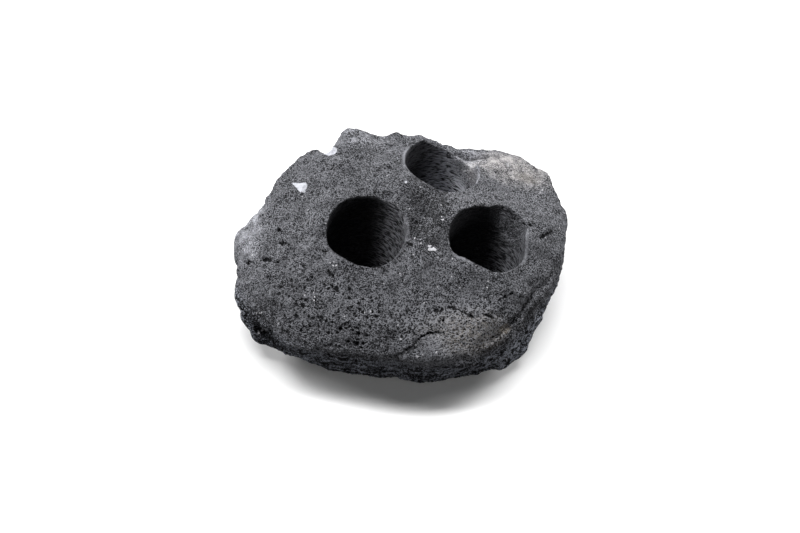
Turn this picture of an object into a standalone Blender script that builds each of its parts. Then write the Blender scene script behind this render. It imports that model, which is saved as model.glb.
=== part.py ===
"""Lava rock with three planting holes: one natural stone, drilled from above.

Units are metres and +Z is up. The stone rests on the flat patch under it, its
origin is the bottom centre of its bounding box, +X runs along its longest side,
and its broad, undercut front faces -Y. Sizes below are in millimetres.
"""

import random

import bmesh
import bpy
from mathutils import Vector

MM = 0.001

# The stone's broad form: corners of its facets, round it from the top down.
CREST = [
    (-64, 27, 57), (-52, 37, 62), (-46, 41, 65), (-30, 47, 70), (-26, 51, 71),
    (-19, 49, 71), (-1, 49, 70), (5, 49, 67), (12, 51, 61), (37, 54, 54),
    (52, 56, 50), (63, 52, 48), (75, 45, 47), (75, 33, 46),
]
TOP = [
    (32, 8, 67), (6, 16, 72), (-17, 6, 70), (-34, 8, 69), (-50, 10, 63),
    (-40, -12, 65), (28, -30, 67),
]
SHOULDER = [
    (-68, -22, 51), (-49, -33, 56), (-29, -43, 57), (0, -46, 59), (24, -46, 59),
    (48, -42, 58), (67, -24, 57), (72, 3, 56), (50, 18, 60),
]
FRONT_BULGE = [
    (-71, -36, 43), (-56, -48, 47), (-36, -56, 50), (-10, -61, 53), (16, -64, 53),
    (40, -59, 53), (60, -44, 52), (75, -25, 50),
]
FRONT_RIM = [
    (-78, -30, 33), (-68, -48, 31), (-56, -59, 34), (-39, -65, 36), (-20, -68, 38),
    (0, -72, 39), (15, -75, 39), (34, -71, 40), (49, -63, 41), (59, -49, 43),
    (72, -33, 46), (78, -20, 46),
]
LEFT_EDGE = [
    (-64, 21, 56), (-71, 12, 52), (-80, 7, 46), (-84, 2, 41), (-84, -4, 38),
    (-83, -21, 27), (-80, -31, 20), (-77, -34, 13), (-71, -39, 9), (-61, -42, 6),
]
RIGHT_EDGE = [
    (82, 20, 48), (85, 12, 46), (84, 2, 47), (82, -8, 47), (83, 2, 37),
    (80, -15, 29), (74, -26, 23), (69, -33, 19), (66, -40, 14), (62, -47, 9),
    (54, -53, 6),
]
BACK = [
    (-66, 34, 36), (-36, 57, 40), (5, 66, 40), (40, 66, 34), (66, 56, 30),
    (82, 34, 32), (-66, 20, 16), (-30, 50, 12), (10, 58, 10), (46, 54, 10),
    (70, 32, 12), (76, 4, 14),
]
FOOT = [
    (-47, -48, 5), (-28, -55, 4), (-18, -56, 4), (0, -59, 4), (12, -60, 4),
    (22, -60, 4), (37, -56, 5), (-55, -45, 5), (57, 22, 4), (30, 46, 4),
    (-14, 46, 4), (-46, 30, 4), (-60, 0, 4),
    (-42, -14, -2), (-30, -32, -2), (-4, -40, -2), (22, -42, -2), (40, -30, -2),
    (46, -6, -2), (38, 20, -2), (16, 32, -2), (-14, 32, -2), (-36, 18, -2),
]

# Places where pieces have broken away: the centre and half sizes of each bite.
BITES = {
    "left_of_peak": ((-37, 56, 66), (9, 19, 14)),
    "right_of_peak": ((-11, 56, 80), (11, 20, 16)),
    "upper_left_step": ((-90, 27, 64), (30, 30, 30)),
    "left_edge": ((-91, -12, 32), (11, 10, 12)),
    "behind_back_hole": ((34, 57, 63), (25, 18, 15)),
    "thin_wall": ((33, 43, 58), (13, 8, 8)),
    "thin_wall_start": ((21, 50, 63), (11, 7, 6)),
    "right_hole_rim": ((57, -3, 65), (8, 7, 7)),
    "lower_left": ((-72, -50, 23), (12, 11, 9)),
    "back_left": ((-54, 62, 26), (18, 15, 13)),
    "back": ((14, 79, 24), (24, 17, 15)),
    "back_right": ((68, 68, 26), (17, 15, 13)),
    "left_under": ((-88, 26, 20), (18, 18, 15)),
    "right_side": ((96, 6, 18), (16, 20, 13)),
    "right_back_step": ((96, 40, 36), (14, 16, 9)),
    "under_left": ((-28, -18, -23), (30, 24, 25)),
    "under_right": ((30, 14, -31), (26, 22, 33)),
}
BITE_ROUGHNESS = 0.1

# Ledges and crevices: the radius of each groove and the line that it follows.
GROOVES = {
    "right_front_ledge": (
        2.4,
        [(75, -28, 47), (71, -33, 46), (67, -37, 47), (64, -42, 46), (61, -46, 45),
         (58, -50, 43), (54, -55, 42), (49, -60, 42), (43, -65, 41)],
    ),
    "crevice_behind_back_hole": (
        1.8, [(25, 52, 53), (31, 51, 51), (35, 49, 50), (40, 48, 51), (46, 47, 54)],
    ),
    "front_flake_edge": (
        1.2, [(2, -71, 43), (6, -70, 46), (8, -69, 48), (11, -68, 50), (18, -67, 53)],
    ),
    "front_scar": (
        1.2, [(19, -57, 58), (25, -56, 58), (29, -57, 56), (34, -58, 54), (40, -59, 51)],
    ),
}
GROOVE_BEVEL_STEPS = 1

# The drilled holes are upright: x and y of each axis and the height of its floor.
HOLE_DIAMETER = 38
HOLE_SIDES = 40
HOLES = {
    "left": (-17, -14, 14),
    "right": (43, -17, 15),
    "back": (21, 30, 16),
}
ABOVE_STONE = 90

# The worn surface: the grid it is rounded on, and the width and height of its lumps.
CELL = 1.5
SOFTENING_PASSES = 4
LUMPS = {
    "broad_lumps": (30, 2.2),
    "knobs": (15, 1.6),
    "small_lumps": (8, 1.6),
}
PIT_SPACING = 11
PIT_DEPTH = 1.8
PIT_SHARE = 0.3
FACES_KEPT = 0.115

# A block under the stone that cuts the flat patch it rests on.
FLOOR_BLOCK = (260, 260, 40)


def empty_scene():
    """Remove what the scene holds."""
    for thing in list(bpy.data.objects):
        bpy.data.objects.remove(thing)


def new_collection(name):
    """A new collection in the scene."""
    made = bpy.data.collections.new(name)
    bpy.context.scene.collection.children.link(made)
    return made


def stone_material():
    """Dark grey, matt volcanic stone."""
    material = bpy.data.materials.new("lava_stone")
    material.use_nodes = True
    surface = material.node_tree.nodes["Principled BSDF"]
    surface.inputs["Base Color"].default_value = (0.085, 0.086, 0.092, 1)
    surface.inputs["Roughness"].default_value = 0.95
    surface.inputs["Metallic"].default_value = 0.0
    return material


def object_from(shape, name, home):
    """A new object that holds a bmesh's shape."""
    mesh = bpy.data.meshes.new(name)
    shape.to_mesh(mesh)
    shape.free()
    thing = bpy.data.objects.new(name, mesh)
    home.objects.link(thing)
    return thing


def rough_block(name, corners, home):
    """The closed shape stretched round a set of corners."""
    shape = bmesh.new()
    for corner in corners:
        shape.verts.new(Vector(corner) * MM)
    made = bmesh.ops.convex_hull(shape, input=shape.verts)
    inside = [v for v in made["geom_interior"] if isinstance(v, bmesh.types.BMVert)]
    bmesh.ops.delete(shape, geom=inside, context="VERTS")
    bmesh.ops.recalc_face_normals(shape, faces=shape.faces)
    return object_from(shape, name, home)


def take_away(stone, tool):
    """Cut a tool's shape from the stone."""
    tool.hide_render = True
    tool.display_type = "WIRE"
    step = stone.modifiers.new(tool.name, "BOOLEAN")
    step.operation = "DIFFERENCE"
    step.object = tool


def bite(name, centre, half_sizes, home):
    """A rounded bite with a few flats, as stone breaks."""
    chance = random.Random(name)
    shape = bmesh.new()
    bmesh.ops.create_icosphere(shape, subdivisions=2, radius=1)
    for corner in shape.verts:
        corner.co *= 1 + BITE_ROUGHNESS * chance.uniform(-1, 1)
    bmesh.ops.scale(shape, verts=shape.verts, vec=Vector(half_sizes) * MM)
    tool = object_from(shape, name, home)
    tool.location = Vector(centre) * MM
    return tool


def groove(name, radius, line, home):
    """A tube along a line, as one closed mesh."""
    curve = bpy.data.curves.new(name, "CURVE")
    curve.dimensions = "3D"
    curve.bevel_depth = radius * MM
    curve.bevel_resolution = GROOVE_BEVEL_STEPS
    curve.use_fill_caps = True
    spline = curve.splines.new("POLY")
    spline.points.add(len(line) - 1)
    for point, place in zip(spline.points, line):
        point.co = (*(Vector(place) * MM), 1)
    guide = bpy.data.objects.new(name + "_line", curve)
    home.objects.link(guide)
    graph = bpy.context.evaluated_depsgraph_get()
    mesh = bpy.data.meshes.new_from_object(guide.evaluated_get(graph))
    bpy.data.objects.remove(guide)
    shape = bmesh.new()
    shape.from_mesh(mesh)
    bmesh.ops.remove_doubles(shape, verts=shape.verts, dist=0.01 * MM)
    return object_from(shape, name, home)


def drill(name, x, y, floor, home):
    """An upright cylinder that stops at the hole's floor."""
    shape = bmesh.new()
    bmesh.ops.create_cone(
        shape, cap_ends=True, segments=HOLE_SIDES, radius1=HOLE_DIAMETER / 2 * MM,
        radius2=HOLE_DIAMETER / 2 * MM, depth=(ABOVE_STONE - floor) * MM,
    )
    tool = object_from(shape, name, home)
    tool.location = Vector((x, y, (ABOVE_STONE + floor) / 2)) * MM
    return tool


def floor_block(name, home):
    """A block whose top is the surface that the stone rests on."""
    shape = bmesh.new()
    bmesh.ops.create_cube(shape, size=1)
    bmesh.ops.scale(shape, verts=shape.verts, vec=Vector(FLOOR_BLOCK) * MM)
    tool = object_from(shape, name, home)
    tool.location = Vector((0, 0, -FLOOR_BLOCK[2] / 2)) * MM
    return tool


def pit_stone(stone):
    """Sink a pit in the middle of each cell of a pattern that fills the stone."""
    texture = bpy.data.textures.new("pits", "VORONOI")
    texture.noise_scale = PIT_SPACING * MM
    texture.use_color_ramp = True
    ramp = texture.color_ramp
    ramp.elements[0].color = (0, 0, 0, 1)
    ramp.elements[1].position = PIT_SHARE
    ramp.elements[1].color = (1, 1, 1, 1)
    pits = stone.modifiers.new("pits", "DISPLACE")
    pits.texture = texture
    pits.texture_coords = "LOCAL"
    pits.mid_level = 1.0
    pits.strength = PIT_DEPTH * MM


def weather(stone):
    """Round the facets, give them lumps and keep a faceted skin."""
    grid = stone.modifiers.new("even_cells", "REMESH")
    grid.mode = "VOXEL"
    grid.voxel_size = CELL * MM
    soften = stone.modifiers.new("soft_edges", "SMOOTH")
    soften.factor = 0.5
    soften.iterations = SOFTENING_PASSES
    for name, (width, height) in LUMPS.items():
        texture = bpy.data.textures.new(name, "CLOUDS")
        texture.noise_scale = width * MM
        texture.noise_depth = 2
        lumps = stone.modifiers.new(name, "DISPLACE")
        lumps.texture = texture
        lumps.texture_coords = "LOCAL"
        lumps.mid_level = 0.5
        lumps.strength = height * MM
    pit_stone(stone)
    skin = stone.modifiers.new("faceted_skin", "DECIMATE")
    skin.ratio = FACES_KEPT


def move_origin_under(stone):
    """Shift everything so that the origin is the stone's bottom centre."""
    bpy.context.view_layer.update()
    graph = bpy.context.evaluated_depsgraph_get()
    corners = [Vector(corner) for corner in stone.evaluated_get(graph).bound_box]
    low = Vector([min(corner[axis] for corner in corners) for axis in range(3)])
    high = Vector([max(corner[axis] for corner in corners) for axis in range(3)])
    bottom_centre = Vector(((low.x + high.x) / 2, (low.y + high.y) / 2, low.z))
    for thing in bpy.data.objects:
        thing.location -= bottom_centre


def main():
    empty_scene()
    stone_home = new_collection("lava_rock")
    tools = new_collection("cutters")
    corners = CREST + TOP + SHOULDER + FRONT_BULGE + FRONT_RIM
    corners += LEFT_EDGE + RIGHT_EDGE + BACK + FOOT
    stone = rough_block("lava_rock", corners, stone_home)
    stone.data.materials.append(stone_material())
    for name, (centre, half_sizes) in BITES.items():
        take_away(stone, bite(name, centre, half_sizes, tools))
    weather(stone)
    for name, (radius, line) in GROOVES.items():
        take_away(stone, groove(name, radius, line, tools))
    for name, (x, y, floor) in HOLES.items():
        take_away(stone, drill("hole_" + name, x, y, floor, tools))
    take_away(stone, floor_block("resting_surface", tools))
    move_origin_under(stone)


main()
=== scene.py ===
"""A lava rock with three drilled planting bores, on a pale floor under soft light.

Lengths are in metres unless a name or a table says millimetres, and +Z is up.
"""

import math

import bpy
import numpy as np
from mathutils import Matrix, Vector


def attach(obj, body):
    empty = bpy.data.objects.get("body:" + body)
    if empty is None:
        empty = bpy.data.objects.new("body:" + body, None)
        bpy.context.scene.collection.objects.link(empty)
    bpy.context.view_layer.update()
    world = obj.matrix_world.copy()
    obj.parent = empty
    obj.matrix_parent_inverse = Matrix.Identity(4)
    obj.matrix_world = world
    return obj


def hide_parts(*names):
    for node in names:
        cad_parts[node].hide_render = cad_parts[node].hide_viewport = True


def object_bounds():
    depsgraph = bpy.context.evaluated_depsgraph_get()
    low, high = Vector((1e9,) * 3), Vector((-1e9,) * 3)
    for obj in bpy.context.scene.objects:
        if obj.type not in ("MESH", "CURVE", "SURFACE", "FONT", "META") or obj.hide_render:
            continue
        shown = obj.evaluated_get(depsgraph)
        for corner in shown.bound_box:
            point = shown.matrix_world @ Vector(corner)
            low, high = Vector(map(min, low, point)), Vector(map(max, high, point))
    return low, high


MM = 0.001

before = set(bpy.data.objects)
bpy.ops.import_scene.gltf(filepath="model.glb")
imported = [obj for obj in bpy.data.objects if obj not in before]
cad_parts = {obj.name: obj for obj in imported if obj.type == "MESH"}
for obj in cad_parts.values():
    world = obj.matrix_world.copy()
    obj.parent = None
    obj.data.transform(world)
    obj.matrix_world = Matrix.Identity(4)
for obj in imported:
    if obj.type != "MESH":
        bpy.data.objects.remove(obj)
cad_low, cad_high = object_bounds()

# The drilled bores in millimetres: axis x and y at the mouth, and the height of the floor.
BORES = {
    "left": (-17.74, -9.57, 13.8),
    "right": (42.26, -12.57, 14.8),
    "back": (20.26, 34.43, 15.8),
}
BORE_RADIUS = 19.0
# The bit cuts a little wider than the solid's bores, and leans by this many degrees to the right,
# turning about the height of the mouths.
CUTTER_RADIUS = 19.3
LEAN = 8.0
MOUTH_HEIGHT = 62

# The skin's height round each mouth: the angle round the bore, 0 at the right and 90 behind,
# and the height in millimetres.
MOUTHS = {
    "left": [
        (5, 66.5), (22, 69), (40, 68.5), (60, 67.8), (90, 69.5), (122, 70.2), (142, 70.2),
        (164, 69.5), (184, 66), (200, 62.5), (220, 64.6), (239, 65), (259, 62.4), (281, 60.6),
        (301, 59.6), (320, 60.4), (343, 63),
    ],
    "right": [
        (2, 57.5), (21, 60.2), (76, 64.8), (95, 65.5), (114, 66.3), (135, 69.2), (150, 67.4),
        (172, 66), (197, 65), (206, 62), (221, 65.6), (234, 67.4), (247, 67.6), (260, 64.4),
        (284, 59.6), (307, 58.4), (326, 56.2), (347, 54.4),
    ],
    "back": [
        (94, 58), (104, 61.4), (119, 64), (132, 65.6), (147, 67.6), (175, 70), (203, 71.4),
        (225, 71.8), (240, 72), (253, 71), (267, 67.4), (282, 66.2), (300, 65), (318, 63.6),
    ],
}
# How far along the skin one of these heights is felt, and how far outside the bore it is taken.
MOUTH_REACH = 5.5
MOUTH_GAP = 0.5

# How far outside a bore's wall and below its floor a vertex still belongs to it.
WALL_SLACK = 0.08
FLOOR_SLACK = 0.5

# Mesh cells of the body and of the finished surface, in millimetres.
BODY_CELL = 0.9
SURFACE_CELL = 0.5
MOST_TRIANGLES = 192_000

# The resting face stays flat: work on the skin fades in between these two heights.
BASE_FADE = (0.3, 4)
# Weights are painted in this many steps, and a move of less than this many millimetres is left out.
WEIGHT_STEPS = 200
SMALLEST_MOVE = 0.001


# ---------------------------------------------------------------- hand tools


def alone(obj):
    """Select one object and nothing else."""
    bpy.ops.object.select_all(action="DESELECT")
    obj.select_set(True)
    bpy.context.view_layer.objects.active = obj


def apply_modifier(obj, kind, **settings):
    """Add a modifier, set it and apply it."""
    alone(obj)
    modifier = obj.modifiers.new(kind.title(), kind)
    for name, value in settings.items():
        setattr(modifier, name, value)
    bpy.ops.object.modifier_apply(modifier=modifier.name)


def read_vertices(obj, kind):
    """One vector for each vertex, as rows of an array."""
    flat = np.empty(len(obj.data.vertices) * 3, np.float32)
    obj.data.vertices.foreach_get(kind, flat)
    return flat.reshape(-1, 3).astype(np.float64)


def points_of(obj):
    """The vertices of a mesh in millimetres."""
    return read_vertices(obj, "co") / MM


def normals_of(obj):
    """The outward direction at each vertex."""
    return read_vertices(obj, "normal")


def paint_group(obj, name, weight):
    """Write a weight from 0 to 1 for every vertex as a vertex group."""
    old = obj.vertex_groups.get(name)
    if old:
        obj.vertex_groups.remove(old)
    group = obj.vertex_groups.new(name=name)
    step = np.round(np.clip(weight, 0, 1) * WEIGHT_STEPS).astype(int)
    order = np.argsort(step, kind="stable")
    edges = np.searchsorted(step[order], np.arange(WEIGHT_STEPS + 2))
    for level in range(1, WEIGHT_STEPS + 1):
        chosen = order[edges[level] : edges[level + 1]]
        if len(chosen):
            group.add(chosen.tolist(), level / WEIGHT_STEPS, "REPLACE")
    return name


def move_skin(obj, change, direction="NORMAL"):
    """Move each vertex by its own amount in millimetres, outwards or along an axis."""
    for side in (1, -1):
        amount = np.clip(change * side, 0, None)
        most = amount.max()
        if most > SMALLEST_MOVE:
            group = paint_group(obj, "moved", amount / most)
            apply_modifier(
                obj,
                "DISPLACE",
                direction=direction,
                strength=side * most * MM,
                mid_level=0,
                vertex_group=group,
            )


def smooth_step(value, low, high):
    """0 below low and 1 above high, with a smooth rise between them."""
    t = np.clip((value - low) / (high - low), 0, 1)
    return t * t * (3 - 2 * t)


def gap_to(place, centre, half_sizes):
    """How far each vertex is from a place, in half sizes of it."""
    return np.linalg.norm((place - np.array(centre)) / np.array(half_sizes), axis=1)


def patch(place, centre, half_sizes):
    """1 in the middle of a round patch, fading to 0 at its edge."""
    return 1 - smooth_step(gap_to(place, centre, half_sizes), 0.35, 1)


def fullest(place, patches):
    """The strongest of several patches at each vertex."""
    return np.max([patch(place, centre, half_sizes) for centre, half_sizes in patches], axis=0)


def smooth_above_base(stone, times):
    """Smooth the whole skin but the resting face."""
    group = paint_group(stone, "above_base", smooth_step(points_of(stone)[:, 2], *BASE_FADE))
    apply_modifier(stone, "SMOOTH", factor=0.5, iterations=times, vertex_group=group)


# ---------------------------------------------------------------- the stone's body


def copy_of_node(name):
    """A copy of a node's mesh with its loose triangles joined."""
    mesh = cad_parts[name].data.copy()
    mesh.materials.clear()
    stone = bpy.data.objects.new("lava_stone", mesh)
    bpy.context.scene.collection.objects.link(stone)
    alone(stone)
    bpy.ops.object.mode_set(mode="EDIT")
    bpy.ops.mesh.select_all(action="SELECT")
    bpy.ops.mesh.remove_doubles(threshold=0.00001)
    bpy.ops.mesh.select_all(action="DESELECT")
    bpy.ops.object.mode_set(mode="OBJECT")
    return stone


def close_bores(stone):
    """Take the drilled walls away and close the mouths, so that the skin is shaped whole."""
    alone(stone)
    place = points_of(stone)
    inside = np.zeros(len(place), bool)
    for x, y, floor in BORES.values():
        away = np.hypot(place[:, 0] - x, place[:, 1] - y)
        inside |= (away < BORE_RADIUS + WALL_SLACK) & (place[:, 2] > floor - FLOOR_SLACK)
    for face in stone.data.polygons:
        face.select = all(inside[v] for v in face.vertices)
    bpy.ops.object.mode_set(mode="EDIT")
    bpy.ops.mesh.select_mode(type="FACE")
    bpy.ops.mesh.delete(type="FACE")
    bpy.ops.mesh.select_mode(type="VERT")
    bpy.ops.mesh.select_all(action="DESELECT")
    bpy.ops.mesh.select_non_manifold()
    bpy.ops.mesh.fill_holes(sides=0)
    bpy.ops.mesh.select_all(action="SELECT")
    bpy.ops.mesh.quads_convert_to_tris(ngon_method="BEAUTY")
    bpy.ops.mesh.select_all(action="DESELECT")
    bpy.ops.object.mode_set(mode="OBJECT")


def shape_mouths(stone):
    """Bring the skin round each mouth to its heights, where it lies high and faces up."""
    place = points_of(stone)
    upward = smooth_step(normals_of(stone)[:, 2], 0.0, 0.4) * smooth_step(place[:, 2], 36, 46)
    total = np.zeros(len(place))
    weights = np.zeros(len(place))
    for name, heights in MOUTHS.items():
        for angle, height in heights:
            turn = math.radians(angle)
            x = BORES[name][0] + (BORE_RADIUS + MOUTH_GAP) * math.cos(turn)
            y = BORES[name][1] + (BORE_RADIUS + MOUTH_GAP) * math.sin(turn)
            away = np.hypot(place[:, 0] - x, place[:, 1] - y)
            nearest = np.argmin(np.where(upward < 0.5, np.inf, away))
            weight = np.exp(-((away / MOUTH_REACH) ** 2))
            total += weight * (height - place[nearest, 2])
            weights += weight
    move_skin(stone, upward * total / np.maximum(weights, 1), "Z")


# Fuller places: the centre and half sizes of each, and how far the skin stands out, in millimetres.
SWELLS = [
    ((-83, 2, 40), (9, 14, 14), 1.3),
    ((-72.5, 14, 50), (9, 10, 9), 3.2),
    ((-82, -20, 28), (8, 9, 9), 1.0),
    ((-74, -36, 14), (9, 9, 9), 0.8),
    ((-32, 50, 71), (10, 9, 8), 1.0),
    ((-14, 52, 70), (9, 7, 7), 0.5),
    ((62, 56, 48), (12, 9, 9), 0.9),
    ((76, 44, 46), (9, 9, 9), 0.9),
    ((84, 16, 46), (8, 10, 10), 0.8),
    ((28, -67, 31), (16, 9, 7), 2.2),
    ((12, 56, 61), (10, 7, 9), 2.6),
]
# How far it stands out everywhere.
ALL_ROUND = 0.35
# Nearer to the stone's box than this, the skin stands out less.
BOX_MARGIN = 1.6


def room_in_box(place):
    """How far each point is from the nearest side or the top of the stone's box."""
    low = np.array(cad_low) / MM
    high = np.array(cad_high) / MM
    return np.minimum((place - low)[:, :2].min(axis=1), (high - place).min(axis=1))


def fill_out(stone):
    """Stand the skin out a little, more at the fuller places and never past the stone's box."""
    place = points_of(stone)
    change = np.full(len(place), ALL_ROUND)
    for centre, half_sizes, amount in SWELLS:
        change += amount * (1 - smooth_step(gap_to(place, centre, half_sizes), 0.1, 1))
    change *= np.clip(room_in_box(place) / BOX_MARGIN, 0, 1) * smooth_step(place[:, 2], 1, 6)
    move_skin(stone, change)


stone = copy_of_node("lava_rock")
close_bores(stone)
apply_modifier(stone, "REMESH", mode="VOXEL", voxel_size=BODY_CELL * MM)
smooth_above_base(stone, 14)
shape_mouths(stone)
smooth_above_base(stone, 6)
fill_out(stone)

# ---------------------------------------------------------------- drilled bores

# Pieces broken from the mouths: the centre and half sizes of each, in millimetres.
CHIPS = {
    "right_near_corner": ((26.2, -24.6, 69.5), (4.6, 3.6, 4.4)),
    "left_far_edge": ((-6.0, 9.6, 73.5), (4.2, 3.4, 5.0)),
    "left_near_edge": ((-36.8, -17.6, 67.8), (3.4, 4.2, 4.4)),
    "back_left_edge": ((2.6, 39.5, 74.5), (3.6, 4.6, 4.8)),
}
# Mouths that widen: the centre, radius, lean and heading of each, in millimetres and degrees.
FLARES = {
    "right_far_corner": ((50.6, -2.9, 62), 11.6, 22, 46),
}
# All that is drilled: a place on each axis, its radius, its lean and its heading.
AXES = {name: ((x, y, MOUTH_HEIGHT), CUTTER_RADIUS, LEAN, 0) for name, (x, y, _) in BORES.items()}
AXES.update(FLARES)
FLARE_LENGTH = 50
FLARE_SIDES = 64
BIT_LENGTH = 90
BIT_SIDES = 160


def drill_bit(x, y, floor):
    """A core bit that leans a little to the right and stops at the bore's floor."""
    lean = math.radians(LEAN)
    along = Vector((math.sin(lean), 0, math.cos(lean)))
    mouth = Vector((x, y, MOUTH_HEIGHT))
    centre = mouth + along * ((floor - MOUTH_HEIGHT) / along.z + BIT_LENGTH / 2)
    bpy.ops.mesh.primitive_cylinder_add(
        vertices=BIT_SIDES,
        radius=CUTTER_RADIUS * MM,
        depth=BIT_LENGTH * MM,
        location=centre * MM,
        rotation=(0, lean, 0),
        end_fill_type="TRIFAN",
    )
    return bpy.context.object


def flare(centre, radius, lean, heading):
    """A widening of a mouth: a narrower bit that leans outwards."""
    sideways = math.sin(lean)
    along = Vector((sideways * math.cos(heading), sideways * math.sin(heading), math.cos(lean)))
    bpy.ops.mesh.primitive_cylinder_add(
        vertices=FLARE_SIDES,
        radius=radius * MM,
        depth=FLARE_LENGTH * MM,
        location=Vector(centre) * MM,
        rotation=Vector((0, 0, 1)).rotation_difference(along).to_euler(),
        end_fill_type="TRIFAN",
    )
    return bpy.context.object


def chip(centre, half_sizes):
    """A rounded piece, as stone breaks away at a drilled edge."""
    bpy.ops.mesh.primitive_ico_sphere_add(
        subdivisions=3,
        radius=MM,
        location=Vector(centre) * MM,
        scale=half_sizes,
    )
    return bpy.context.object


def cut(stone, tool):
    """Take a closed tool away from the stone."""
    alone(tool)
    bpy.ops.object.transform_apply(location=True, rotation=True, scale=True)
    apply_modifier(stone, "BOOLEAN", operation="DIFFERENCE", solver="EXACT", object=tool)
    bpy.data.objects.remove(tool)


for bore in BORES.values():
    cut(stone, drill_bit(*bore))
for centre, radius, lean, heading in FLARES.values():
    cut(stone, flare(centre, radius, math.radians(lean), math.radians(heading)))
for centre, half_sizes in CHIPS.values():
    cut(stone, chip(centre, half_sizes))
apply_modifier(stone, "REMESH", mode="VOXEL", voxel_size=SURFACE_CELL * MM)

# ---------------------------------------------------------------- cracks, ledges and pits

# Lines on the skin that more than one feature follows, in millimetres.
RIGHT_FLANK = [
    (43, -58.2, 40.4), (48.3, -53.9, 40.6), (53.3, -48.6, 40.9), (56.9, -44, 42.2),
    (60.4, -39.7, 43.8), (63.4, -35.9, 44.6), (67.1, -30.1, 45.2), (71.3, -26.2, 44.3),
    (73.9, -21.7, 45.1),
]
FRONT_FLAKE = [
    (1.6, -65.6, 43.2), (3.6, -65.1, 44.8), (5.5, -64.6, 45.8), (7.4, -63.1, 47.7),
    (10.3, -61.9, 49.3), (13.2, -61, 50.5), (17.2, -60.8, 50.9),
]
LOWER_LEFT = [(-75.3, -33.8, 27.6), (-71.5, -37.5, 25.5), (-67.6, -40, 24), (-61.9, -45.4, 25.1)]

# Cracks and grooves: half width and depth, then the line each follows, all in millimetres.
CRACKS = {
    "left_high": (0.9, 1.4, [(-64.5, -2.3, 52.9), (-62.9, -3.0, 53.4), (-61.4, -3.4, 53.9)]),
    "left_slot": (1.2, 1.6, [(-61.4, 0.3, 56.0), (-59.4, -0.9, 55.6), (-57.4, -3.0, 55.6)]),
    "left_short": (1.1, 1.5, [(-59.7, -7.7, 55.0), (-57.6, -9.6, 56.0), (-55.4, -11.3, 57.3)]),
    "left_middle": (
        1.4, 1.8,
        [(-67.8, -14.7, 50.6), (-65.5, -15.9, 50.9), (-62.9, -17.1, 51.2), (-60.1, -18.4, 52.8)],
    ),
    "left_edge": (1.5, 2.0, [(-77.6, -9.9, 43.4), (-75.5, -11.9, 44.4), (-72.9, -13.9, 46.7)]),
    "left_mouth": (0.7, 0.8, [(-38.3, -19.5, 62.4), (-35.8, -20.4, 63.0)]),
    "left_mouth_front": (
        1.0, 1.3, [(-35.7, -29.3, 58.9), (-34.8, -30.8, 58.4), (-33.8, -31.6, 57.8)],
    ),
    "between_mouths": (0.8, 0.9, [(1.7, -15.4, 63.5), (3.2, -15.8, 63.7), (5.1, -17.8, 64.9)]),
    "front_slit": (0.6, 0.8, [(3.7, -60.9, 50.6), (4.3, -59.9, 51.8), (4.9, -58.6, 52.8)]),
    "right_mouth": (0.7, 1.0, [(60, 2, 59), (62.3, 0.1, 58.5), (64.8, 0.7, 58)]),
    "right_dark": (1.5, 1.1, [(69, -5, 55.2), (71.4, -2.2, 54.4), (74.3, 0.8, 53.2)]),
    "right_front": (0.8, 1.1, [(47.3, -44.3, 54.8), (50.5, -42.1, 54.6), (53.8, -39.9, 54.4)]),
    "right_flank": (0.8, 0.9, RIGHT_FLANK[:7]),
    "front_flake": (0.9, 1.6, FRONT_FLAKE),
    "front_scar": (
        0.8, 1.2,
        [(18, -52.6, 56), (20.4, -50.5, 56.5), (24.7, -49.7, 56.3), (28.1, -51.4, 55.4),
         (33.4, -53.3, 53.9), (39.4, -55.2, 52.1)],
    ),
    "front_wedge": (1.0, 1.2, [(40.4, -52.6, 53.7), (42.6, -52.4, 52.4), (44.2, -52.5, 51.2)]),
    "behind_back_bore": (
        2.2, 1.9,
        [(24.5, 51.5, 55), (27.8, 56.3, 50.7), (30.4, 56.7, 49.8), (34.5, 53.9, 49.1),
         (38.7, 54.5, 49.9), (43.4, 53.2, 51.7)],
    ),
    "lower_left": (8, 1.6, LOWER_LEFT),
}
# A crack's painted shade is full up to this half width, and wider grooves get less of it.
DARK_WIDTH = 1.4

# Edges where the skin to the left of a line drops: the drop and how far it takes to fade.
STEPS = {
    "right_flank": (1.8, 10, RIGHT_FLANK),
    "flake_bed": (1.0, 6, (FRONT_FLAKE[:1] + FRONT_FLAKE[2:])[::-1]),
}
STEP_REACH = 13

# Grooves of the solid that are worn away: half width, how far the skin stands out there, and the line.
FILLS = {
    "right_flank": (6, 0.9, RIGHT_FLANK),
    "lower_left": (10, 1.2, LOWER_LEFT),
    "front_flake": (3, 0.3, FRONT_FLAKE[1:5]),
}
# Where the skin stands out this far for a fill, it is smoothed all the way.
FULL_FILL = 0.3

# Vertices further than this from a line's box aren't looked at.
LINE_REACH = 14

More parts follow.
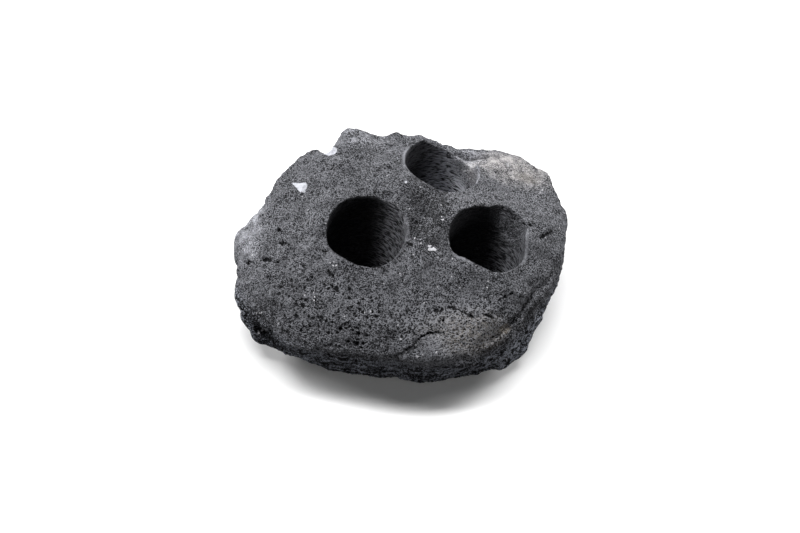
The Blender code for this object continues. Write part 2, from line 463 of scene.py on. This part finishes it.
# Single pits: centre, radius and depth, in millimetres.
PITS = [
    ((17.0, -51.6, 56.4), 1.7, 1.8), ((12.7, -52.0, 56.1), 1.0, 1.2),
    ((19.9, -56.6, 54.1), 1.1, 1.1), ((-25.8, -54.0, 49.3), 1.1, 1.2),
    ((-21.0, -58.1, 46.0), 1.2, 1.4), ((-25.9, -59.5, 41.6), 1.2, 1.3),
    ((-29.7, -55.1, 46.1), 1.1, 1.3), ((-16.6, -59.3, 46.0), 1.0, 1.1),
    ((-16.6, -53.4, 52.5), 1.0, 1.1), ((-18.1, -49.5, 53.8), 1.0, 1.0),
    ((-22.0, -61.1, 41.2), 1.5, 1.6), ((-19.5, -62.5, 40.7), 1.3, 1.5),
    ((-22.9, -60.3, 41.8), 1.1, 1.3), ((-18.6, -61.5, 42.5), 1.2, 1.4),
    ((5.2, -60.0, 14.2), 2.6, 2.6), ((-20.0, -52.0, 52.3), 0.9, 1.0),
    ((-18.1, -49.4, 53.3), 0.9, 1.0), ((-30.5, -49.0, 51.8), 1.0, 1.1),
    ((10.5, -47.4, 58.1), 0.8, 0.9), ((-33.7, -36.7, 56.3), 1.0, 1.1),
    ((-35.1, -31.0, 58.1), 0.9, 1.0), ((-48.1, -24.9, 57.7), 0.9, 1.0),
    ((-43.6, -30.5, 55.7), 1.1, 1.2), ((-49.4, -35.2, 53.0), 1.1, 1.2),
    ((-58.9, -32.0, 50.6), 1.2, 1.2), ((-57.8, -18.3, 54.8), 0.9, 1.0),
    ((7.6, -5.1, 68.1), 1.2, 1.2), ((9.8, -6.0, 68.1), 0.9, 0.9),
    ((5.4, -4.7, 68.4), 0.8, 0.8),
]


def along_line(place, normal, line):
    """How far each vertex is from a line through the skin, and on which side of it."""
    away = np.full(len(place), 1e6)
    side = np.zeros(len(place))
    corners = np.array(line, float)
    low = corners.min(0) - LINE_REACH
    high = corners.max(0) + LINE_REACH
    near = np.all((place > low) & (place < high), axis=1)
    points, outward = place[near], normal[near]
    best, sign = away[near], side[near]
    for start, end in zip(corners[:-1], corners[1:]):
        run = end - start
        share = np.clip((points - start) @ run / (run @ run), 0, 1)
        gap = points - start - share[:, None] * run
        distance = np.linalg.norm(gap, axis=1)
        closer = distance < best
        across = np.einsum("ij,ij->i", gap, np.cross(outward, run))
        best = np.where(closer, distance, best)
        sign = np.where(closer, np.sign(across), sign)
    away[near], side[near] = best, sign
    return away, side


def mark(stone, name, value):
    """Store one number for each vertex, for the finish to read."""
    layer = stone.data.attributes.new(name, "FLOAT", "POINT")
    layer.data.foreach_set("value", np.asarray(value, np.float32))


def raggedness(place):
    """Uneven waves from -0.5 to 0.5 that make cut lines wander and change their width."""
    x, y, z = place.T
    waves = np.sin(1.9 * x + 1.1 * z + 1.3 * np.sin(0.9 * y)) + np.sin(2.3 * y - 1.7 * z + 0.4)
    return 0.25 * (waves * np.sin(0.6 * x - 0.5 * y + 0.8 * z) + np.sin(3.1 * x + 2.7 * y))


def fill_grooves(stone, normal):
    """Smooth the grooves that are worn away and bring them up to the skin round them."""
    place = points_of(stone)
    rise = np.zeros(len(place))
    for width, height, line in FILLS.values():
        away, _ = along_line(place, normal, line)
        rise = np.maximum(rise, height * (1 - smooth_step(away, 0.2 * width, width)))
    worn = paint_group(stone, "worn", rise / FULL_FILL)
    apply_modifier(stone, "SMOOTH", factor=0.5, iterations=60, vertex_group=worn)
    move_skin(stone, rise)


def hollow_out(stone):
    """Sink the cracks, ledges and single pits into the skin, and mark the painted shade inside them.
    """
    normal = normals_of(stone)
    fill_grooves(stone, normal)
    place = points_of(stone)
    ragged = raggedness(place)
    depth = np.zeros(len(place))
    recess_shade = np.zeros(len(place))
    for width, most, line in CRACKS.values():
        away, _ = along_line(place, normal, line)
        away = away + width * ragged
        hollow = 1 - smooth_step(away, 0.25 * width, width)
        depth = np.maximum(depth, most * hollow)
        recess_shade = np.maximum(recess_shade, hollow * min(1, (DARK_WIDTH / width) ** 2))
    for centre, radius, most in PITS:
        away = np.linalg.norm(place - np.array(centre), axis=1)
        hollow = 1 - smooth_step(away, 0.4 * radius, radius)
        depth = np.maximum(depth, most * hollow)
        recess_shade = np.maximum(recess_shade, 1 - smooth_step(away, 0.2 * radius, 0.8 * radius))
    for drop, fade, line in STEPS.values():
        away, side = along_line(place, normal, line)
        below = (side > 0) & (away < STEP_REACH)
        depth += np.where(below, drop * np.exp(-((away / fade) ** 2)), 0)
    mark(stone, "recess_shade", recess_shade)
    move_skin(stone, -depth)


hollow_out(stone)

# ---------------------------------------------------------------- grain and pores

# Where the skin is full of large pores: centre and half sizes of each patch.
PORE_PATCHES = [
    ((-48, -45, 46), (34, 26, 26)),
    ((-18, -56, 46), (28, 24, 20)),
    ((-40, -36, 52), (24, 20, 14)),
]
# Where it is worn smooth.
SMOOTH_PATCHES = [
    ((58, 42, 52), (26, 22, 16)),
    ((72, 14, 50), (16, 24, 16)),
    ((13, -65, 46), (10, 8, 7)),
    ((-78, 0, 42), (12, 18, 16)),
]
# The back bore runs out to its right over a lip that is worn round.
WORN_LIP = ((36, 46, 48.5), (11, 12.5, 11))
# A vertex this close to a drilled wall belongs to the bore.
BORE_SLACK = 0.4
# The grain fades between these distances from the nearest side or the top of the stone's box.
BOX_FADE = (-0.2, 2.2)
# Lumps of the skin: their size, detail and depth, and the grey of the texture that stays in place.
GRAIN = {
    "knobs": (7, 1, 2.0, 0.52),
    "grains": (2.4, 2, 1.3, 0.55),
}
# Pores: the size of a cell, the share of it that the pore takes, and the pore's depth.
PORES = {
    "large_pores": (5.2, 0.21, 1.3),
    "small_pores": (2.9, 0.25, 0.8),
}


def noise_texture(name, kind, size, **settings):
    """A texture whose lumps or cells are about as wide as the size in millimetres."""
    texture = bpy.data.textures.new(name, kind)
    texture.noise_scale = size * MM
    for key, value in settings.items():
        setattr(texture, key, value)
    return texture


def pit_texture(name, size, share):
    """Round pits, one to each cell of a pattern: black in the pits and white between them."""
    texture = noise_texture(name, "VORONOI", size)
    texture.use_color_ramp = True
    ramp = texture.color_ramp
    ramp.elements[0].position = share * 0.35
    ramp.elements[0].color = (0, 0, 0, 1)
    ramp.elements[1].position = share
    ramp.elements[1].color = (1, 1, 1, 1)
    return texture


def roughen(stone, texture, depth, group, middle):
    """Move the skin by a texture: out where it is lighter than the middle and in where darker."""
    apply_modifier(
        stone,
        "DISPLACE",
        texture=texture,
        texture_coords="LOCAL",
        strength=depth * MM,
        mid_level=middle,
        vertex_group=group,
    )


def wear_lip(stone):
    """Wear the lip of the back bore round."""
    group = paint_group(stone, "lip", patch(points_of(stone), *WORN_LIP))
    apply_modifier(stone, "SMOOTH", factor=0.9, iterations=70, vertex_group=group)


def drilled_share(place):
    """1 inside the bores and 0 on the skin, with a soft change over the worn lip."""
    inside = np.zeros(len(place), bool)
    for (x, y, z), radius, lean, heading in AXES.values():
        run = (place[:, 2] - z) * math.tan(math.radians(lean))
        axis_x = x + run * math.cos(math.radians(heading))
        axis_y = y + run * math.sin(math.radians(heading))
        inside |= np.hypot(place[:, 0] - axis_x, place[:, 1] - axis_y) < radius + BORE_SLACK
    return inside * (1 - patch(place, *WORN_LIP))


def weather(stone):
    """Give the skin its grain and its pores, deepest where the patches say."""
    place = points_of(stone)
    drilled = drilled_share(place)
    worn = fullest(place, SMOOTH_PATCHES)
    open_pores = fullest(place, PORE_PATCHES)
    base = smooth_step(place[:, 2], *BASE_FADE) * smooth_step(room_in_box(place), *BOX_FADE)
    skin = base * ((1 - 0.6 * worn) * (1 - drilled) + 0.12 * drilled)
    pores = base * ((0.3 + 0.7 * open_pores - 0.25 * worn) * (1 - drilled) + 0.1 * drilled)
    group = paint_group(stone, "skin", skin)
    for name, (size, detail, depth, middle) in GRAIN.items():
        texture = noise_texture(name, "CLOUDS", size, noise_depth=detail)
        roughen(stone, texture, depth, group, middle)
    group = paint_group(stone, "pores", pores)
    for name, (size, share, depth) in PORES.items():
        roughen(stone, pit_texture(name, size, share), depth, group, 1)


wear_lip(stone)
weather(stone)

triangles = sum(len(face.vertices) - 2 for face in stone.data.polygons)
apply_modifier(
    stone,
    "DECIMATE",
    decimate_type="COLLAPSE",
    ratio=min(1, MOST_TRIANGLES / triangles),
    use_collapse_triangulate=True,
)
alone(stone)
bpy.ops.object.shade_smooth()

# ---------------------------------------------------------------- specks, pale lines and painted highlights

# Pale mineral specks, in millimetres.
SPECKS = [
    (6.6, -14.6, 66.1), (9, -16.6, 67.3), (10, -19.1, 67.2), (12.4, -20.8, 66.8),
    (13.8, -21.7, 66.4), (15.3, -21, 66.4), (16.8, -21.7, 65.7), (14.3, -20.1, 66.8),
    (25, -26.2, 64.6), (41.8, -36.9, 60.4), (41.3, -40.4, 58.6), (-42, -38.6, 53.3),
    (-42, -40.4, 52.5), (-41.7, -42.3, 51.7), (-78.2, -28.4, 28.9), (-14.7, -51, 54),
    (-34.3, -26.4, 62.2), (-31.8, -28.6, 61.8), (-74, -9.5, 47.5), (-71.5, -36, 18.5),
    (-52.4, -55.6, 33.3), (-48, -57, 32.7), (35.5, -60.3, 25), (-32.5, -27.0, 63.3),
    (-33.5, -28.0, 61.8), (19.9, -2.7, 68.5), (19.9, -4.3, 68.0), (16.5, -67.3, 43.8),
    (7.4, -67.7, 41.2), (35.2, -65.3, 31.2), (43.6, -55.9, 20.8), (52.3, -51.6, 17.2),
]
# Pale lines: half width, strength and the line. Each fades over a further strip outside its width.
# Some are pale veins and specks of the stone, and some are painted highlights on edges, such as the
# spot on the far right crust and the front rim.
PALE_VEINS_AND_HIGHLIGHTS = [
    (0.7, 0.47, [(72.2, 31.8, 51), (69.8, 26.5, 53), (67.5, 22.2, 54.3)]),
    (0.8, 0.36, [(35.4, 49.8, 51.1), (40.7, 52.6, 50.4)]),
    (1.6, 0.42, [(54.0, 45.6, 54.3), (55.0, 44.6, 54.5)]),
    (0.5, 0.55, [(-73.0, -35.1, 33.0), (-70.7, -37.2, 36.1), (-68.6, -38.7, 38.3)]),
    (0.5, 0.5, [(-53.6, -55.3, 33.7), (-49.6, -56.0, 32.4), (-45.0, -58.2, 33.8)]),
    (1.0, 0.5, [(-71.5, -35.5, 19.4), (-69.5, -35.6, 20.4)]),
    (0.8, 0.9, [(13.4, -22.4, 66.9), (16.4, -21.8, 66.3)]),
]
PALE_STRIP = 0.4


def mark_pale(stone):
    """Mark the vertex nearest to each speck, and those along the pale lines."""
    place = points_of(stone)
    normal = normals_of(stone)
    pale = np.zeros(len(place))
    for width, strength, line in PALE_VEINS_AND_HIGHLIGHTS:
        away, _ = along_line(place, normal, line)
        fading = 1 - smooth_step(away, 0.3 * width, width + PALE_STRIP)
        pale = np.maximum(pale, strength * fading)
    for speck in SPECKS:
        pale[np.argmin(np.linalg.norm(place - np.array(speck), axis=1))] = 1
    mark(stone, "pale", pale)


mark_pale(stone)

# ---------------------------------------------------------------- finishes


class Wire:
    """One socket of a material. Sums, products and differences of wires become Math nodes."""

    def __init__(self, finish, socket):
        self.finish = finish
        self.socket = socket

    def __add__(self, other):
        return self.finish.math("ADD", self, other)

    def __sub__(self, other):
        return self.finish.math("SUBTRACT", self, other)

    def __rsub__(self, other):
        return self.finish.math("SUBTRACT", other, self)

    def __mul__(self, other):
        return self.finish.math("MULTIPLY", self, other)

    __radd__ = __add__
    __rmul__ = __mul__

    def larger(self, other):
        return self.finish.math("MAXIMUM", self, other)

    def smaller(self, other):
        return self.finish.math("MINIMUM", self, other)

    def root(self):
        return self.finish.math("SQRT", self)

    def clamped(self):
        """The same value, kept from 0 to 1."""
        return self.finish.math("ADD", self, 0, clamp=True)

    def ramp(self, low, high, start=0.0, end=1.0):
        """A smooth change from one value to another while this wire goes from low to high."""
        return self.finish.node(
            "ShaderNodeMapRange",
            {"interpolation_type": "SMOOTHSTEP"},
            {"Value": self, "From Min": low, "From Max": high, "To Min": start, "To Max": end},
        )


class Finish:
    """A material and the one way its nodes are made."""

    def __init__(self, name):
        self.material = bpy.data.materials.new(name)
        self.material.use_nodes = True
        self.tree = self.material.node_tree
        self.tree.nodes.clear()

    def node(self, kind, settings=(), inputs=(), out=0):
        """One node: its settings, then its inputs, and the output that is wanted from it."""
        made = self.tree.nodes.new(kind)
        for name, value in dict(settings).items():
            setattr(made, name, value)
        for name, value in dict(inputs).items():
            socket = made.inputs[name]
            if isinstance(value, Wire):
                self.tree.links.new(value.socket, socket)
            else:
                socket.default_value = value
        return Wire(self, made.outputs[out]) if made.outputs else None

    def math(self, operation, *values, clamp=False):
        """A Math node on wires or numbers."""
        settings = {"operation": operation, "use_clamp": clamp}
        return self.node("ShaderNodeMath", settings, dict(enumerate(values)))

    def place(self, scale=1.0, shift=(0, 0, 0)):
        """The place on the stone in millimetres, times a scale along each axis."""
        scales = (scale,) * 3 if isinstance(scale, (int, float)) else scale
        coordinates = self.node("ShaderNodeTexCoord", out="Object")
        return self.node(
            "ShaderNodeMapping",
            {},
            {0: coordinates, "Location": shift, "Scale": tuple(s / MM for s in scales)},
        )

    def axes(self):
        """The place on the stone in millimetres along x, along y and along z."""
        place = self.place()
        return [self.node("ShaderNodeSeparateXYZ", {}, {0: place}, axis) for axis in "XYZ"]

    def marked(self, name):
        """A number that was stored on the mesh."""
        return self.node("ShaderNodeAttribute", {"attribute_name": name}, out="Fac")

    def noise(self, size, detail=2.0, rough=0.5, stretch=(1, 1, 1), shift=(0, 0, 0)):
        """Smooth noise with lumps about as wide as the size in millimetres."""
        where = self.place([s / size for s in stretch], shift)
        return self.node(
            "ShaderNodeTexNoise",
            {},
            {"Vector": where, "Scale": 1.0, "Detail": detail, "Roughness": rough},
            "Fac",
        )

    def cells(self, size, shift=(0, 0, 0)):
        """How far a point is from the middle of its cell, in cells."""
        return self.node(
            "ShaderNodeTexVoronoi",
            {"feature": "F1"},
            {"Vector": self.place(1 / size, shift), "Scale": 1.0},
            "Distance",
        )

    def mix(self, share, one, other):
        """A colour between two others."""
        return self.node("ShaderNodeMix", {"data_type": "RGBA"}, {0: share, 6: one, 7: other}, 2)

    def near(self, centre, half_sizes):
        """1 at a point of the stone, falling to 0 at the half sizes round it, in millimetres."""
        shift = tuple(-c / size for c, size in zip(centre, half_sizes))
        gap = self.place([1 / size for size in half_sizes], shift)
        length = self.node("ShaderNodeVectorMath", {"operation": "LENGTH"}, {0: gap}, "Value")
        return length.ramp(0.35, 1.0, 1.0, 0.0)

    def strongest(self, places):
        """The largest of several places, each times its own strength."""
        found = None
        for centre, half_sizes, strength in places:
            here = self.near(centre, half_sizes) * strength
            found = here if found is None else found.larger(here)
        return found


def grey(value, warmth=0.0):
    """A grey of the stone: cool at 0 and brownish at 1."""
    cool = (0.97, 0.985, 1.075)
    warm = (1.12, 1.0, 0.86)
    return (*(value * (c + (w - c) * warmth) for c, w in zip(cool, warm)), 1)


# The tables below give places on the stone: centre and half sizes in millimetres, and a strength.

# Pale edges, partly dust and partly painted rim light from behind: the far right, the left shoulder
# and the crown's far edge.
DUST_AND_RIM_LIGHT = [
    ((56, 44, 52), (34, 20, 18), 1.0),
    ((-78, 9, 47), (17, 28, 17), 1.1),
    ((-24, 50, 70), (22, 10, 9), 0.6),
]
# The flake low on the front, which is worn as smooth as the pale edges.
FLAKE_FACE = ((13, -65, 46), (11, 9, 8))
# Places painted paler than the rest, and with a minus sign places painted darker. On the front, its
# flake and the front rim the paler paint is painted light where the lamps reach too little, and the
# tan front is also paler in its own colour. In the hollow low on the left, on the right flank and
# under the shelf the darker paint is painted shade; the top between the bores is darker too.
PAINTED_SHADING_AND_TONES = [
    ((-6, -54, 48), (74, 26, 22), 0.08),
    ((29, -57, 47), (27, 15, 14), 0.25),
    ((22, -67, 39), (24, 6, 7), 0.3),
    ((13, -64, 46), (13, 9, 8), 0.14),
    ((0, -45, 56), (40, 22, 16), 0.07),
    ((13, 0, 68), (19, 36, 11), -0.32),
    ((-69, -40, 28), (17, 15, 14), -0.33),
    ((64, -36, 38), (20, 20, 8), -0.24),
    ((46, -57, 39), (16, 12, 5), -0.42),
]
# Places whose palest grey is painted lighter than elsewhere, mostly painted light where the lamps
# reach too little: the shelf under the right flank, the worn lip of the back bore, the tan front and
# the low right corner. The tan front is also paler in its own colour.
PAINTED_LIFT_PLACES = [
    ((44, -55, 46.5), (15, 12, 5), 0.9),
    ((35, 48, 49), (15, 17, 14), 1.15),
    ((29, -57, 47), (27, 15, 14), 0.75),
    ((54, -51, 25), (18, 14, 9), 0.8),
]
# Parts of the bores' rims painted pale, painted highlights where the edges catch the light; on the
# back bore's left rim the pale crescent is partly a pale chip.
RIM_HIGHLIGHTS_AND_CHIP = [
    ((62, -13, 58), (9, 16, 12), 1.0),
    ((2, -11, 66), (7, 14, 10), 0.6),
    ((28, -28, 65), (10, 8, 8), 0.8),
    ((1, 38, 70), (7, 12, 9), 1.5),
    ((38, 42, 53), (9, 9, 9), 0.25),
]
# Places with many bubbles.
BUBBLY = [
    ((-34, -46, 48), (56, 36, 30), 1.0),
    ((30, -56, 48), (26, 18, 16), 0.6),
]

# The pale scar on the upper left: the corners of its outline, x and y in millimetres.
PALE_SCAR = [(-55.2, 26.4), (-48, 24), (-47.3, 22), (-48.5, 17.7), (-50.8, 18.4), (-52.4, 21)]

# The light side of each bore's wall: how far it starts to the left of the axis in millimetres, and how
# much it turns towards the front. The walls are painted darker away from this side, painted shade.
LIT_SIDES = {"left": (0, 0.35), "right": (0, 0.35), "back": (7, 0)}


def inside_outline(x, y, corners, sharpness):
    """1 within a convex outline seen from above, whose corners go round clockwise."""
    mask = None
    for (ax, ay), (bx, by) in zip(corners, corners[1:] + corners[:1]):
        length = math.hypot(bx - ax, by - ay)
        across = ((by - ay) / length, -(bx - ax) / length)
        edge = (x - ax) * across[0] + (y - ay) * across[1]
        edge = (edge * sharpness + 0.5).clamped()
        mask = edge if mask is None else mask.smaller(edge)
    return mask


def bore_distances(x, y, z):
    """How far a point is from each bore's axis, and how far towards the light side of its wall."""
    away = {}
    towards = {}
    for name, ((axis_x, axis_y, axis_z), radius, lean, heading) in AXES.items():
        slope = math.tan(math.radians(lean))
        turn = math.radians(heading)
        across = x - (z - axis_z) * (slope * math.cos(turn)) - axis_x
        depth = y - (z - axis_z) * (slope * math.sin(turn)) - axis_y
        away[name] = (across * across + depth * depth).root() + (CUTTER_RADIUS - radius)
        if name in LIT_SIDES:
            shift, front = LIT_SIDES[name]
            towards[name] = across - depth * front + shift
    away["right"] = away["right"].smaller(away.pop("right_far_corner"))
    return away, sum(away[name].ramp(19.6, 21, 1, 0) * towards[name] for name in BORES)


def stone_finish():
    """Grey basalt: gritty, full of bubbles, pale on its edges with dust and painted rim light, ringed
    inside the bores, and with painted light and painted shade in places.
    """
    finish = Finish("Basalt")
    x, y, z = finish.axes()

    # Blotches, grains and foam, each about 0, and where the grain is coarse.
    mottle = finish.noise(24, 2, 0.55) - 0.5
    blotch = finish.noise(6, 2, 0.6, shift=(4, 4, 4)) - 0.5
    fleck = finish.noise(1.15, 1, 0.5) - 0.5
    grit = finish.noise(0.5, 1, 0.6, shift=(9, 3, 7)) - 0.5
    foam = finish.cells(0.92, (5, 1, 8)).ramp(0.2, 0.72) - 0.5
    coarse = finish.noise(10, 2, 0.6, shift=(2, 5, 3)).ramp(0.36, 0.64, 0.55, 1.4)

    # Inside the bores, by distance from their axes, and the rings that the bit left there.
    from_axis, side = bore_distances(x, y, z)
    nearest = from_axis["left"].smaller(from_axis["right"]).smaller(from_axis["back"])
    in_bore = nearest.ramp(19.4, 20.0, 1, 0) * z.ramp(10, 14)
    in_bore = in_bore * (1 - finish.near((36, 48.5, 50), (15, 18, 15)) * 0.97)
    in_back = from_axis["back"].ramp(19.4, 21, 1, 0)
    rings = finish.noise(1.0, 2, 0.6, stretch=(0.3, 0.3, 1.5)) - 0.5

    # Pale edges, partly dust and partly painted rim light, and the low band in the stone's own shade,
    # painted darker as painted shade.
    patchy = (blotch * x.ramp(-20, 20, 0.7, 1.6) + 0.75).clamped()
    dust_and_rim_light = finish.strongest(DUST_AND_RIM_LIGHT) * patchy * (1 - in_bore)
    smooth = dust_and_rim_light.larger(finish.near(*FLAKE_FACE) * 0.85)
    # The low band is painted darker below, painted shade, and given streaks and bubbles.
    low = z.ramp(26, 38, 1, 0) * y.ramp(-36, 0, 1, 0.4)
    rough_low = low * (1 - finish.near((-66, -42, 24), (28, 24, 22)) * 0.7)
    streak = finish.noise(3.0, 2, 0.65, (0.4, 1, 1.3), (6, 8, 1)) - 0.5
    painted_lift = finish.strongest(PAINTED_LIFT_PLACES)

    # How light the stone is, from the darkest grey to the palest, with painted light and painted shade
    # added in places.
    light = 0.39 + mottle * 0.5 + blotch * (0.75 + dust_and_rim_light * 0.9)
    light = light + (fleck * 0.9 + grit * 4.4 + foam * 0.6) * (1 - smooth * 0.45) * coarse
    light = light + sum(finish.near(centre, sizes) * change for centre, sizes, change in PAINTED_SHADING_AND_TONES)
    light = light + (streak * 7 + fleck * 4 + foam * 0.8) * rough_low
    gritty_front = finish.near((26, -56, 47), (56, 24, 18)) * (1 - smooth)
    light = light + (foam * 1.2 + fleck * 2.4) * gritty_front
    light = light + painted_lift * 0.12 + dust_and_rim_light * 0.2 - low * 0.32
    palest = finish.mix(painted_lift, grey(0.25), grey(0.5))
    dust_and_rim_grey = finish.mix(x.ramp(-20, 20), grey(0.5), grey(0.5, 0.42))
    palest = finish.mix(dust_and_rim_light * 0.9, palest, dust_and_rim_grey)
    palest = finish.mix(low * 0.55, palest, grey(0.5, -0.35))
    colour = finish.mix(light.clamped(), grey(0.01), palest)

    # A brown spot on the far right edge, and the tan stain on the front.
    brown = finish.near((64, 38, 52), (8, 6, 6))
    colour = finish.mix(brown * 0.4, colour, grey(0.17, 0.9))
    tan = finish.near((30, -57, 46), (32, 15, 14)) * (fleck * 3 + 0.55).clamped()
    colour = finish.mix(tan * 0.7 * (1 - smooth * 0.8), colour, grey(0.23, 0.95))

    # Bubbles of two sizes, painted nearly black: painted shade in the pores.
    bubble = finish.cells(3.2, (3, 7, 1)).ramp(0.22, 0.28)
    small = finish.cells(1.25, (11, 2, 5)).ramp(0.25, 0.34)
    porous = finish.strongest(BUBBLY).larger(low * 0.9).larger(coarse * 0.5)
    porous = porous * (1 - smooth * 0.7) * (1 - in_bore * 0.7)
    pore_shade = ((1 - bubble) * porous).larger((1 - small) * (porous * 0.9))
    colour = finish.mix(pore_shade * 0.95, colour, grey(0.004))

    # The ringed walls of the bores, with painted shade darker on their left, away from the light, and
    # lighter towards their lit right; the back bore's walls are painted paler, painted light. Then the
    # rims, with painted highlights.
    rings_and_bore_shade = (rings * z.ramp(15.5, 18.5, 1.5, 9) + 0.36 + in_back * 0.35).clamped()
    rings_and_bore_shade = rings_and_bore_shade * side.ramp(-3, 12, 0.1, 1)
    wall_with_painted_light = finish.mix(in_back * y.ramp(18, 27), grey(0.27), grey(0.62))
    colour = finish.mix(in_bore * 0.9, colour, finish.mix(rings_and_bore_shade, grey(0.006), wall_with_painted_light))
    rim = nearest.ramp(19.2, 19.9) * nearest.ramp(20.3, 21.6, 1, 0)
    colour = finish.mix(rim * finish.strongest(RIM_HIGHLIGHTS_AND_CHIP) * 0.6, colour, grey(0.3))

    # Painted shade in the cracks and pits, a tan painted highlight on the edge of the shelf, and the
    # pale specks and lines, some of them painted highlights.
    recess_shade = finish.marked("recess_shade").ramp(0.12, 0.6)
    colour = finish.mix(recess_shade * 0.9, colour, grey(0.006))
    # A tan painted highlight along the edge of the shelf.
    ledge_highlight = finish.near((50, -51.5, 42), (5, 4, 2.6)) * (grit * 5 + 0.5).clamped()
    colour = finish.mix(ledge_highlight * 0.8, colour, grey(0.42, 1.0))
    speck = finish.marked("pale").ramp(0.25, 0.65)
    stray = finish.cells(6.5, (2, 9, 4)).ramp(0.05, 0.08, 1, 0) * (0.5 - in_bore)
    colour = finish.mix((speck.larger(stray) * 1.3).clamped(), colour, grey(0.7, 0.15))

    # Chalk-white scars: one with straight edges, one long and narrow and one small.
    broad = inside_outline(x + fleck * 1.4, y + grit * 1.4, PALE_SCAR, 3.0) * z.ramp(50, 55)
    narrow = finish.near((-36, 41.4, 68.4), (5.5, 4, 4)).ramp(0.35, 0.5)
    tiny = finish.near((2.2, 17.1, 72.3), (1.0, 1.1, 2)).ramp(0.3, 0.6)
    colour = finish.mix(broad.larger(narrow).larger(tiny), colour, grey(0.62))

    # The finest relief.
    height = mottle * 0.3 + fleck * 0.7 + grit * 0.9 + foam * 0.3
    height = height + (bubble * 0.8 + small * 0.45) * porous
    height = height * (1 - in_bore * 0.7) + rings * (in_bore * 1.2)
    bump = finish.node(
        "ShaderNodeBump",
        {},
        {"Strength": 0.9, "Distance": 0.9 * MM, "Height": height},
        "Normal",
    )
    shader = finish.node(
        "ShaderNodeBsdfPrincipled",
        {},
        {
            "Base Color": colour,
            "Roughness": 0.66 - dust_and_rim_light * 0.1,
            "Specular IOR Level": 0.05,
            "Normal": bump,
        },
    )
    finish.node("ShaderNodeOutputMaterial", {}, {"Surface": shader})
    return finish.material


stone.data.materials.clear()
stone.data.materials.append(stone_finish())
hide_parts("lava_rock")
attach(stone, "root")


# ---------------------------------------------------------------- floor, light and camera

FLOOR_SIZE = 12
# The floor's grey as the light finds it and as the camera sees it.
FLOOR_TO_LIGHT = 0.17
FLOOR_TO_EYE = 0.92

# Area lights: width and height in metres, azimuth and elevation in degrees, and power in watts.
# Azimuth 0 is in front, 90 at the right and 180 behind. Some light the floor alone, and the
# others the stone alone.
FLOOR_LIGHTS = {
    "overhead": (3.2, 0.75, 184, 84, 150),
    "floor_fill": (2.4, 1.6, 0, 42, 13),
    "floor_left": (1.6, 0.8, 240, 24, 70),
    "floor_right": (1.6, 0.8, 118, 24, 50),
}
STONE_LIGHTS = {
    "key": (0.75, 0.75, 258, 70, 84),
    "top": (0.7, 0.7, 0, 87, 16),
    "low_back_right": (1.2, 0.8, 135, 10, 78),
    "low_back": (1.2, 0.8, 180, 10, 48),
    "low_back_left": (1.2, 0.8, 225, 12, 66),
    "low_left": (1.2, 0.8, 270, 10, 24),
    "low_right": (1.2, 0.8, 90, 10, 22),
}
LIGHT_DISTANCE = 3.0
LIGHT_TARGET = Vector((0, 0, 0.03))
SKY_STRENGTH = 0.015

CAMERA_TARGET = Vector((-0.00074, -0.00357, 0.0316))
CAMERA_DISTANCE = 0.956
CAMERA_ELEVATION = 50
LENS = 85
SENSOR_WIDTH = 36


def floor_finish():
    """White to the eye, and darker to the light that it would throw up under the stone."""
    finish = Finish("White Floor")
    seen = finish.node("ShaderNodeLightPath", out="Is Camera Ray")
    thrown = (FLOOR_TO_LIGHT,) * 3 + (1,)
    shown = (FLOOR_TO_EYE,) * 3 + (1,)
    shader = finish.node(
        "ShaderNodeBsdfPrincipled",
        {},
        {"Base Color": finish.mix(seen, thrown, shown), "Roughness": 1.0, "Specular IOR Level": 0.0},
    )
    finish.node("ShaderNodeOutputMaterial", {}, {"Surface": shader})
    return finish.material


def outwards(azimuth, elevation):
    """The direction from the stone to an azimuth and an elevation in degrees."""
    a = math.radians(azimuth)
    e = math.radians(elevation)
    return Vector((math.sin(a) * math.cos(e), -math.cos(a) * math.cos(e), math.sin(e)))


def stand(name, data, target, direction, distance):
    """Stand a light or a camera at a distance from a target and aim it there."""
    obj = bpy.data.objects.new(name, data)
    bpy.context.scene.collection.objects.link(obj)
    obj.location = target + direction * distance
    obj.rotation_euler = direction.to_track_quat("Z", "Y").to_euler()
    return obj


def softbox(name, width, height, azimuth, elevation, power, receiver):
    """An area light aimed at the stone, which lights one receiver alone."""
    light = bpy.data.lights.new(name, "AREA")
    light.shape = "RECTANGLE"
    light.size = width
    light.size_y = height
    light.energy = power
    lamp = stand(name, light, LIGHT_TARGET, outwards(azimuth, elevation), LIGHT_DISTANCE)
    lit = bpy.data.collections.new(name + "_lights")
    lit.objects.link(receiver)
    lamp.light_linking.receiver_collection = lit


bpy.ops.object.select_all(action="DESELECT")
bpy.ops.mesh.primitive_plane_add(size=FLOOR_SIZE, location=(0, 0, 0))
floor = bpy.context.object
floor.name = "floor"
floor.data.materials.append(floor_finish())

for receiver, lights in ((floor, FLOOR_LIGHTS), (stone, STONE_LIGHTS)):
    for name, settings in lights.items():
        softbox(name, *settings, receiver)

world = bpy.data.worlds.new("studio")
bpy.context.scene.world = world
world.use_nodes = True
sky = world.node_tree.nodes["Background"].inputs
sky["Color"].default_value = (1, 1, 1, 1)
sky["Strength"].default_value = SKY_STRENGTH

camera_data = bpy.data.cameras.new("camera")
camera_data.lens = LENS
camera_data.sensor_width = SENSOR_WIDTH
camera = stand("camera", camera_data, CAMERA_TARGET, outwards(0, CAMERA_ELEVATION), CAMERA_DISTANCE)
bpy.context.scene.camera = camera

bpy.context.scene.view_settings.view_transform = "Standard"
bpy.context.scene.view_settings.look = "None"
